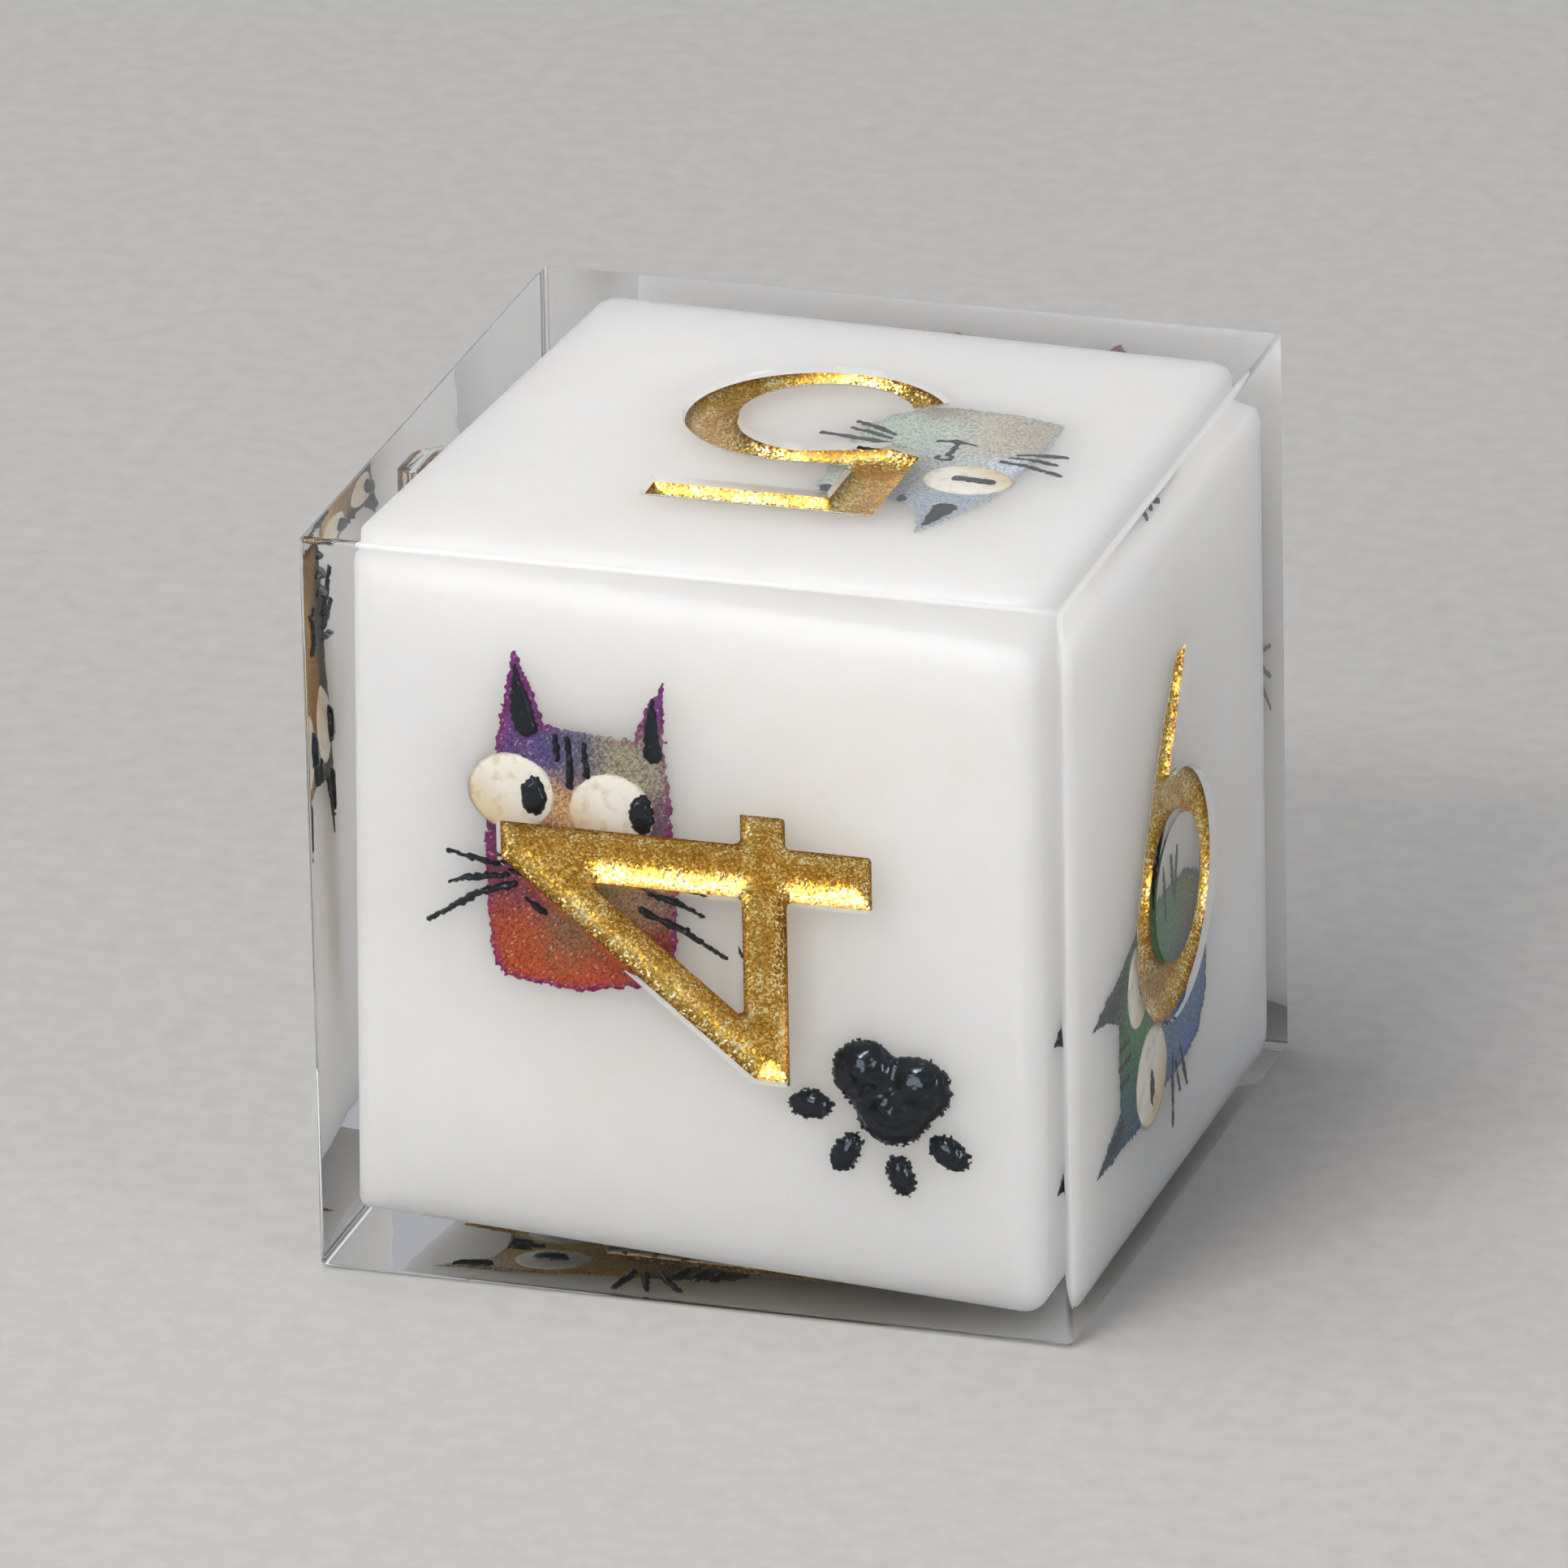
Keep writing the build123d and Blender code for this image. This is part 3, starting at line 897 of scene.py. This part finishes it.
# %% The blue and green cat, beside the six
cats["right"] = {
    "place": (-0.50, -3.20), "turn": 90, "coat": "blue_green_coat_ink", "wash": -0.045,
    "head": [
        (-2.15, 0.40), (-2.29, 2.05), (-2.19, 5.15), (-1.62, 3.90), (-1.40, 3.30), (-0.40, 3.36),
        (0.56, 3.34), (0.90, 4.10), (1.16, 5.25), (1.45, 4.10), (1.60, 3.30), (2.05, 2.00), (2.15, 0.50),
        (2.05, -1.60), (1.50, -2.70), (0.20, -3.05), (-1.20, -2.90), (-1.90, -2.30), (-2.10, -1.20),
    ],
    "eyes": [(-1.49, 1.10, 1.08, 1.12), (0.86, 1.95, 0.95, 0.80)],
    "pupils": [(-1.72, 1.12, 0.38, 0.15), (0.95, 1.80, 0.36, 0.15)],
    "lines": [
        [(-1.75, 3.30, 0.20), (-1.95, 4.00, 0.16), (-2.14, 4.85, 0.03)],
        [(1.10, 3.40, 0.18), (1.14, 4.10, 0.14), (1.15, 4.90, 0.03)],
        [(-0.04, 3.32, 0.06), (-0.04, 2.70, 0.07)],
        [(-0.44, 3.32, 0.07), (-0.44, 2.62, 0.08)],
        [(-0.84, 3.30, 0.06), (-0.84, 2.72, 0.07)],
        [(-1.64, -0.40, 0.06), (-2.40, -0.42, 0.08), (-3.19, -0.40, 0.05)],
        [(-1.90, -0.65, 0.07), (-2.64, -0.95, 0.05)],
        [(-1.74, -1.00, 0.07), (-2.20, -1.22, 0.08), (-2.69, -1.45, 0.05)],
        [(2.66, 0.05, 0.05), (2.00, -0.02, 0.08), (1.46, -0.05, 0.06)],
        [(2.71, -0.50, 0.05), (2.30, -0.55, 0.08), (1.86, -0.60, 0.06)],
        [(2.76, -0.95, 0.05), (2.20, -0.80, 0.08), (1.66, -0.70, 0.06)],
        [(-0.30, -0.30, 0.08), (-0.05, -0.45, 0.10), (0.20, -0.30, 0.08)],
        [(-0.05, -0.45, 0.06), (-0.05, -1.00, 0.06)],
    ],
    "colours": [
        (-1.80, 3.60, 0.8, (40, 92, 128)), (-1.20, 2.60, 0.7, (54, 118, 96)),
        (-0.20, 2.90, 0.6, (62, 132, 74)), (1.10, 3.60, 0.8, (34, 66, 58)),
        (0.40, 2.00, 0.7, (78, 144, 84)), (1.60, 1.60, 0.6, (84, 132, 72)),
        (1.30, -0.20, 0.8, (84, 140, 102)), (1.30, -1.40, 0.8, (112, 116, 52)),
        (-0.60, 0.40, 0.6, (106, 152, 140)), (-1.40, -0.60, 0.8, (92, 128, 170)),
        (-0.40, -1.60, 0.9, (110, 138, 174)), (1.20, -2.60, 0.7, (132, 150, 120)),
        (-1.30, -2.10, 0.8, (78, 112, 166)), (-2.00, 1.90, 0.5, (34, 86, 146)),
    ],
    "rim": (44, 92, 118), "rim_gap": (0.3, 4.10),
}
print("right cat:", len(cats["right"]["lines"]), "pen strokes")

# %% The plain pattern, for the other three
def plain_cat(place, turn, width, height, ears, coat, colours, rim, lean):
    """A cat of a given head width, height and ear length; lean shifts its gaze sideways."""
    side, chin, brow = width / 2, -height / 2, height / 2
    eye_up, eye_out = 0.30 * height, 0.26 * width
    spots = [
        (-0.9 * side, brow + 0.6, 0.8), (0.9 * side, brow + 0.6, 0.8), (-0.5 * side, 0.8 * brow, 0.6),
        (0.5 * side, 0.7 * brow, 0.6), (0.0, 0.2, 0.6), (-0.6 * side, 0.4 * chin, 0.8),
        (0.6 * side, 0.3 * chin, 0.7), (0.0, 0.85 * chin, 0.8), (0.9 * side, 0.8 * chin, 0.6),
        (-0.95 * side, 0.1, 0.5),
    ]
    whiskers = [
        [
            (hand * (side - 0.35), base, 0.07), (hand * (side + 0.3), base - drop, 0.07),
            (hand * (side + 1.0), base - 2.3 * drop, 0.04),
        ]
        for hand in (-1, 1)
        for base, drop in ((-0.30, -0.08), (-0.55, 0.12), (-0.85, 0.30))
    ]
    cheek_bars = [
        [
            (hand * (side - 0.05), level, 0.11), (hand * (side - 0.55), level - 0.12, 0.08),
            (hand * (side - 0.95), level - 0.1, 0.03),
        ]
        for hand in (-1, 1)
        for level in (-1.25, -1.65, -2.05)
    ]
    brow_bars = [
        [(x, brow - 0.12, 0.06), (x, brow - 0.12 - run, 0.06)]
        for x, run in ((-0.28, 0.4), (0, 0.7), (0.28, 0.45))
    ]
    return {
        "place": place, "turn": turn, "coat": coat, "rim": rim, "rim_gap": (0.3, 0.0),
        "head": [
            (-side, brow), (-side + 0.25, brow + ears), (-side + 0.95, brow + 0.05), (0.0, brow - 0.05),
            (side - 0.85, brow + 0.08), (side - 0.10, brow + 0.9 * ears), (side, brow - 0.2),
            (side + 0.05, 0.0), (side - 0.15, chin + 0.35), (side - 0.6, chin + 0.08), (0.0, chin),
            (0.5 - side, chin + 0.10), (0.15 - side, chin + 0.45), (-side - 0.04, -0.2),
        ],
        "eyes": [(-eye_out - 0.1, eye_up, 0.80, 0.84), (eye_out, eye_up - 0.12, 0.80, 0.84)],
        "pupils": [(-eye_out + lean, eye_up, 0.25, 0.38), (eye_out + lean, eye_up - 0.1, 0.24, 0.38)],
        "lines": [
            [(-side + 0.28, brow + 0.75 * ears, 0.03), (-side + 0.38, brow + 0.1, 0.19)],
            [(side - 0.16, brow + 0.65 * ears, 0.03), (side - 0.32, brow + 0.1, 0.16)],
            *brow_bars,
            [(-0.3, -0.42, 0.06), (0.0, -0.52, 0.09), (0.3, -0.42, 0.06)],
            [(0.0, -0.5, 0.07), (0.0, -1.1, 0.06)],
            [(-0.35, -1.25, 0.04), (0.0, -1.08, 0.06), (0.35, -1.25, 0.04)],
            *whiskers,
            *cheek_bars,
        ],
        "colours": [(*spot, colours[n % len(colours)]) for n, spot in enumerate(spots)],
    }


cats["left"] = plain_cat(
    (1.75, 3.50), 180, 3.9, 5.2, 1.6, "tan_coat_ink",
    [
        (206, 160, 74), (52, 38, 26), (196, 148, 62), (46, 34, 24), (170, 122, 50),
        (210, 166, 84), (40, 30, 22), (150, 106, 48), (56, 40, 26), (214, 176, 96),
    ],
    (44, 32, 22), 0.2,
)
cats["back"] = plain_cat(
    (-2.60, 0.80), 0, 3.9, 5.2, 1.6, "ginger_coat_ink",
    [(206, 112, 48), (232, 150, 78), (168, 78, 40), (238, 186, 120)], (128, 48, 34), -0.15,
)
# This cat's colours are painted lighter than its ink's own, as painted light for the dim underside of the
# die.
cats["bottom"] = plain_cat(
    (-2.55, 1.40), 90, 3.9, 5.6, 1.3, "golden_coat_ink",
    [
        (240, 190, 70), (250, 242, 224), (248, 208, 104), (255, 206, 84), (240, 190, 70),
        (236, 186, 66), (255, 204, 70), (226, 172, 60), (150, 104, 40), (240, 194, 80),
    ],
    (140, 96, 40), 0.1,
)
print("cats drawn:", ", ".join(cats))

# %% What colour each point of a coat is
scatter = 0.16
rim_width, rim_fray = 0.13, 0.05
gap_across, gap_up = 0.8, 0.5
dark_below, pale_above = 0.22, 0.97
pale_dot = np.array((0.80, 0.76, 0.70))


def colour_of_coat(cat, seed):
    """Patches that run into each other, scattered into dots, some dark and a few pale."""
    chance = np.random.default_rng(seed)
    rim = np.array(paint(*cat["rim"])[:3])

    def colour(x, y):
        dot_x, dot_y = x + chance.normal(0, scatter, len(x)), y + chance.normal(0, scatter, len(x))
        weights, total = 0, 0
        for cx, cy, reach, shade in cat["colours"]:
            pull = np.exp(-((dot_x - cx) ** 2 + (dot_y - cy) ** 2) / reach ** 2) + 1e-5
            weights = weights + pull[:, None] * np.array(paint(*shade)[:3])
            total = total + pull
        mixed = weights / total[:, None]
        near_edge = edge_distance(np.stack((x, y), axis=1), [cat["head"]])
        gap_x, gap_y = cat["rim_gap"]
        gap = np.exp(-(((x - gap_x) / gap_across) ** 2) - ((y - gap_y) / gap_up) ** 2)
        edging = np.clip(1.3 - (near_edge + chance.normal(0, rim_fray, len(x))) / rim_width, 0, 1)
        patchy = (0.75 + 0.5 * unevenness(x, y, 0.5, seed)).clip(0, 1)
        edging = (edging * (1 - gap) * patchy)[:, None]
        mixed = mixed * (1 - edging) + rim * edging
        wash = cat.get("wash", 0.0)
        mixed = np.clip(mixed * (1 - wash) + wash, 0.003, 1)
        fleck = chance.uniform(0, 1, len(x))[:, None]
        mixed = np.where(fleck < dark_below, mixed * (0.5 + max(wash, 0)), mixed)
        return np.where(fleck > pale_above, mixed * 0.6 + 0.4 * pale_dot, mixed)

    return colour


# %% What colour each point of an eye is
eye_shades = ((253, 248, 234), (232, 204, 156), (176, 166, 146))
tan_span, line_width = 1.3, 0.05


def colour_of_eyes(cat):
    """Cream, tanned towards the lower left, with a thin grey line round each eye."""
    cream, tan, line = (np.array(paint(*shade)[:3]) for shade in eye_shades)

    def colour(x, y):
        rounds = [ellipse_field(x, y, *eye) for eye in cat["eyes"]]
        which = np.argmax(rounds, axis=0)
        middles = np.array(cat["eyes"])[which]
        low_left = ((middles[:, 0] - x) + (middles[:, 1] - y))[:, None]
        mixed = cream + (tan - cream) * np.clip(low_left / tan_span, 0, 1)
        edging = np.clip(1.2 - np.max(rounds, axis=0) / line_width, 0, 1)[:, None]
        return mixed * (1 - edging) + line * edging

    return colour


# %% Print the cats
coat_rise, eye_rise, line_rise = 0.035, 0.10, 0.11
coat_bank, eye_bank, line_bank = 0.10, 0.75, 0.14
picture = (-3.7, -3.6, 3.7, 5.6)


def dome(depth, reach, rise):
    """A bead's profile: up steeply at its edge, then round over its top."""
    left = 1 - np.clip(depth / reach, 0, 1)
    return rise * np.sqrt(np.clip(1 - left * left, 0, 1))


def print_cat(face, cat, seed):
    """A cat's three inks. Its fields have seeds ten apart, so none is ragged like another."""

    def coat_field(x, y):
        ragged = 0.03 * unevenness(x, y, 0.11, seed + 10) + 0.045 * unevenness(x, y, 0.05, seed + 20)
        return shape_field(x, y, cat["head"]) + ragged

    def eye_field(x, y):
        rounds = [ellipse_field(x, y, *eye) for eye in cat["eyes"]]
        return np.max(rounds, axis=0) + 0.025 * unevenness(x, y, 0.2, seed + 30)

    def line_field(x, y):
        marks = [ellipse_field(x, y, *pupil) for pupil in cat["pupils"]]
        marks += [stroke_field(x, y, stroke) for stroke in cat["lines"]]
        ragged = 0.032 * unevenness(x, y, 0.07, seed + 40) + 0.02 * unevenness(x, y, 0.16, seed + 50)
        return np.max(marks, axis=0) + ragged

    def coat_lift(x, y, depth):
        return dome(depth, coat_bank, coat_rise) + 0.006 * unevenness(x, y, 0.12, seed + 60)

    def eye_lift(x, y, depth):
        return coat_rise * 0.5 + dome(depth, eye_bank, eye_rise)

    def line_lift(x, y, depth):
        under = dome(np.maximum(eye_field(x, y), 0), eye_bank, eye_rise)
        return under + coat_rise * 0.6 + dome(depth, line_bank, line_rise)

    where = (face, cat["place"], cat["turn"], picture)
    print_ink(
        f"{face}_cat_coat", *where, coat_field, coat_lift, coat_finish(f"{cat['coat']} dots"),
        cat["coat"], f"{face}_cat_coat_ink", cell=0.036, colour=colour_of_coat(cat, seed + 70),
    )
    print_ink(
        f"{face}_cat_eyes", *where, eye_field, eye_lift, cream_ink, "cream_ink",
        f"{face}_cat_eye_ink", colour=colour_of_eyes(cat),
    )
    print_ink(
        f"{face}_cat_lines", *where, line_field, line_lift, black_ink, "black_ink",
        f"{face}_cat_line_ink", cell=0.035,
    )


for seed, (face, cat) in enumerate(cats.items()):
    print_cat(face, cat, seed)

# %% [markdown]
# The paw print is the thickest ink on the die: a heart-shaped pad and four toes, each
# a bead of black that levelled while it was wet, so it is smooth on top and has a
# crumbly shore of droplets round it.

# %% The pad's three lobes and the four toes
pad = [(3.58, -2.63, 0.70, 0.70), (4.68, -2.88, 0.70, 0.70), (4.13, -3.42, 0.76, 0.74)]
toes = [
    (2.43, -3.46, 0.46, 0.32, 4), (3.15, -4.43, 0.28, 0.47, -28), (4.30, -4.83, 0.28, 0.45, 14),
    (5.33, -4.23, 0.46, 0.34, -38),
]
melt = 0.13


def pad_field(x, y):
    """The three lobes run together."""
    return np.log(sum(np.exp(ellipse_field(x, y, *lobe) / melt) for lobe in pad)) * melt


def toe_field(x, y):
    """The toes, each on its own."""
    return np.max([ellipse_field(x, y, *toe) for toe in toes], axis=0)


print("inside the pad's middle by", round(float(pad_field(4.13, -3.0)), 2), "mm")

# %% Print the paw
shore_width = 0.05
toe_bead, pad_bead = (0.36, 0.20), (1.10, 0.40)


def paw_field(x, y):
    """The pad and the toes, with droplets along their shore."""
    spots = np.maximum(pad_field(x, y), toe_field(x, y))
    shore = 0.065 * unevenness(x, y, 0.05, 91) + 0.015 * unevenness(x, y, 0.3, 92)
    return spots + shore * np.exp(-np.maximum(spots, 0) / shore_width)


def paw_lift(x, y, depth):
    """A small bead for each toe, and a high one for the pad."""
    on_toe = toe_field(x, y) > pad_field(x, y)
    bead = np.where(on_toe, dome(depth, *toe_bead), dome(depth, *pad_bead))
    return 0.02 + bead + 0.018 * unevenness(x, y, 0.24, 93)


print_ink(
    "paw_print", "front", (0, 0), 0, (1.7, -5.6, 6.1, -1.6), paw_field, paw_lift, black_ink, "black_ink",
    "front_paw_print_ink", cell=0.027,
)

# %% [markdown]
# The die stands on a plain pale table. Paper has a little tooth, so the floor gets a
# faint grain, and it reaches far past what any view shows.

# %% The floor
floor_finish, tree, shader = new_finish("pale table paper")
tooth = grain(tree, 0.6, 6.0)
shade = ramp(tree, tooth.outputs["Fac"], [(0.3, paint(158, 157, 155)), (0.7, paint(165, 164, 162))])
tree.links.new(shade, shader.inputs["Base Color"])
shader.inputs["Roughness"].default_value = 0.85
tree.links.new(bump(tree, tooth.outputs["Fac"], 0.03, 0.3), shader.inputs["Normal"])
floor_mesh = bpy.data.meshes.new("floor")
reach, below = 1.5, -0.00003
floor_corners = [(x * reach, y * reach, below) for x, y in ((-1, -1), (1, -1), (1, 1), (-1, 1))]
floor_mesh.from_pydata(floor_corners, [], [(0, 1, 2, 3)])
floor_mesh.materials.append(floor_finish)
floor = bpy.data.objects.new("floor", floor_mesh)
bpy.context.scene.collection.objects.link(floor)
print("floor:", 2 * reach, "m across")

# %% [markdown]
# Small shiny things are lit with soft lamps, because each lamp shows in them as a
# shape. A wide one hangs overhead for the white top, and a broad low one stands at the
# front left. Above it a small bright one gives the gold and the wet ink a hard glint.
# One low on the right lights the six, and a faint one behind keeps the far side from
# going dead. The room is plain grey, so the gold has something darker to mirror too.

# %% Lamps and the room
def softbox(name, place, aim, width, depth, watts, tint=(1, 1, 1)):
    """A rectangular soft lamp, in metres, turned to look at a point."""
    lamp = bpy.data.lights.new(name, "AREA")
    lamp.shape, lamp.size, lamp.size_y = "RECTANGLE", width, depth
    lamp.energy, lamp.color = watts, tint
    holder = bpy.data.objects.new(name, lamp)
    holder.location = place
    holder.rotation_euler = (Vector(aim) - Vector(place)).to_track_quat("-Z", "Y").to_euler()
    bpy.context.scene.collection.objects.link(holder)


die_heart = (0, 0, half_die * mm)
warm_white = (1.0, 0.985, 0.96)
softbox("overhead", (-0.10, -0.06, 0.33), die_heart, 0.26, 0.26, 0.78, (1.0, 0.99, 0.97))
softbox("front_high", (-0.08, -0.25, 0.28), die_heart, 0.12, 0.07, 0.66, warm_white)
softbox("front_low", (-0.13, -0.35, 0.15), die_heart, 0.28, 0.16, 0.68, warm_white)
softbox("right_low", (0.33, -0.16, 0.06), die_heart, 0.14, 0.14, 0.60)
softbox("back_fill", (-0.12, 0.40, 0.20), die_heart, 0.36, 0.20, 0.11)
room = bpy.data.worlds.new("room")
room.use_nodes = True
room.node_tree.nodes["Background"].inputs["Color"].default_value = paint(170, 172, 178)
room.node_tree.nodes["Background"].inputs["Strength"].default_value = 0.95
bpy.context.scene.world = room
bpy.context.scene.view_settings.view_transform = "Standard"
print("lamps:", ", ".join(lamp.name for lamp in bpy.data.lights))

# %% [markdown]
# The camera looks down at the corner between the front and the right-hand face from
# far off with a long lens, which keeps the cube's edges nearly parallel.

# %% The camera
lens_millimetres, film_millimetres = 431.2, 36
nearest, farthest = 0.01, 20
camera_place = Vector((108.04, -339.05, 154.5)) * mm
right_way = Vector((0.9547, 0.2971, -0.0191)).normalized()
down_way = Vector((0.0961, -0.3682, -0.9248)).normalized()
forward_way = Vector((-0.2818, 0.881, -0.38)).normalized()
optics = bpy.data.cameras.new("camera")
optics.lens, optics.sensor_width = lens_millimetres, film_millimetres
optics.clip_start, optics.clip_end = nearest, farthest
camera = bpy.data.objects.new("camera", optics)
camera.matrix_world = Matrix.Translation(camera_place) @ Matrix(
    (right_way, -down_way, -forward_way)
).transposed().to_4x4()
bpy.context.scene.collection.objects.link(camera)
bpy.context.scene.camera = camera
print("camera to the die, m:", round((camera_place - Vector(die_heart)).length, 3))
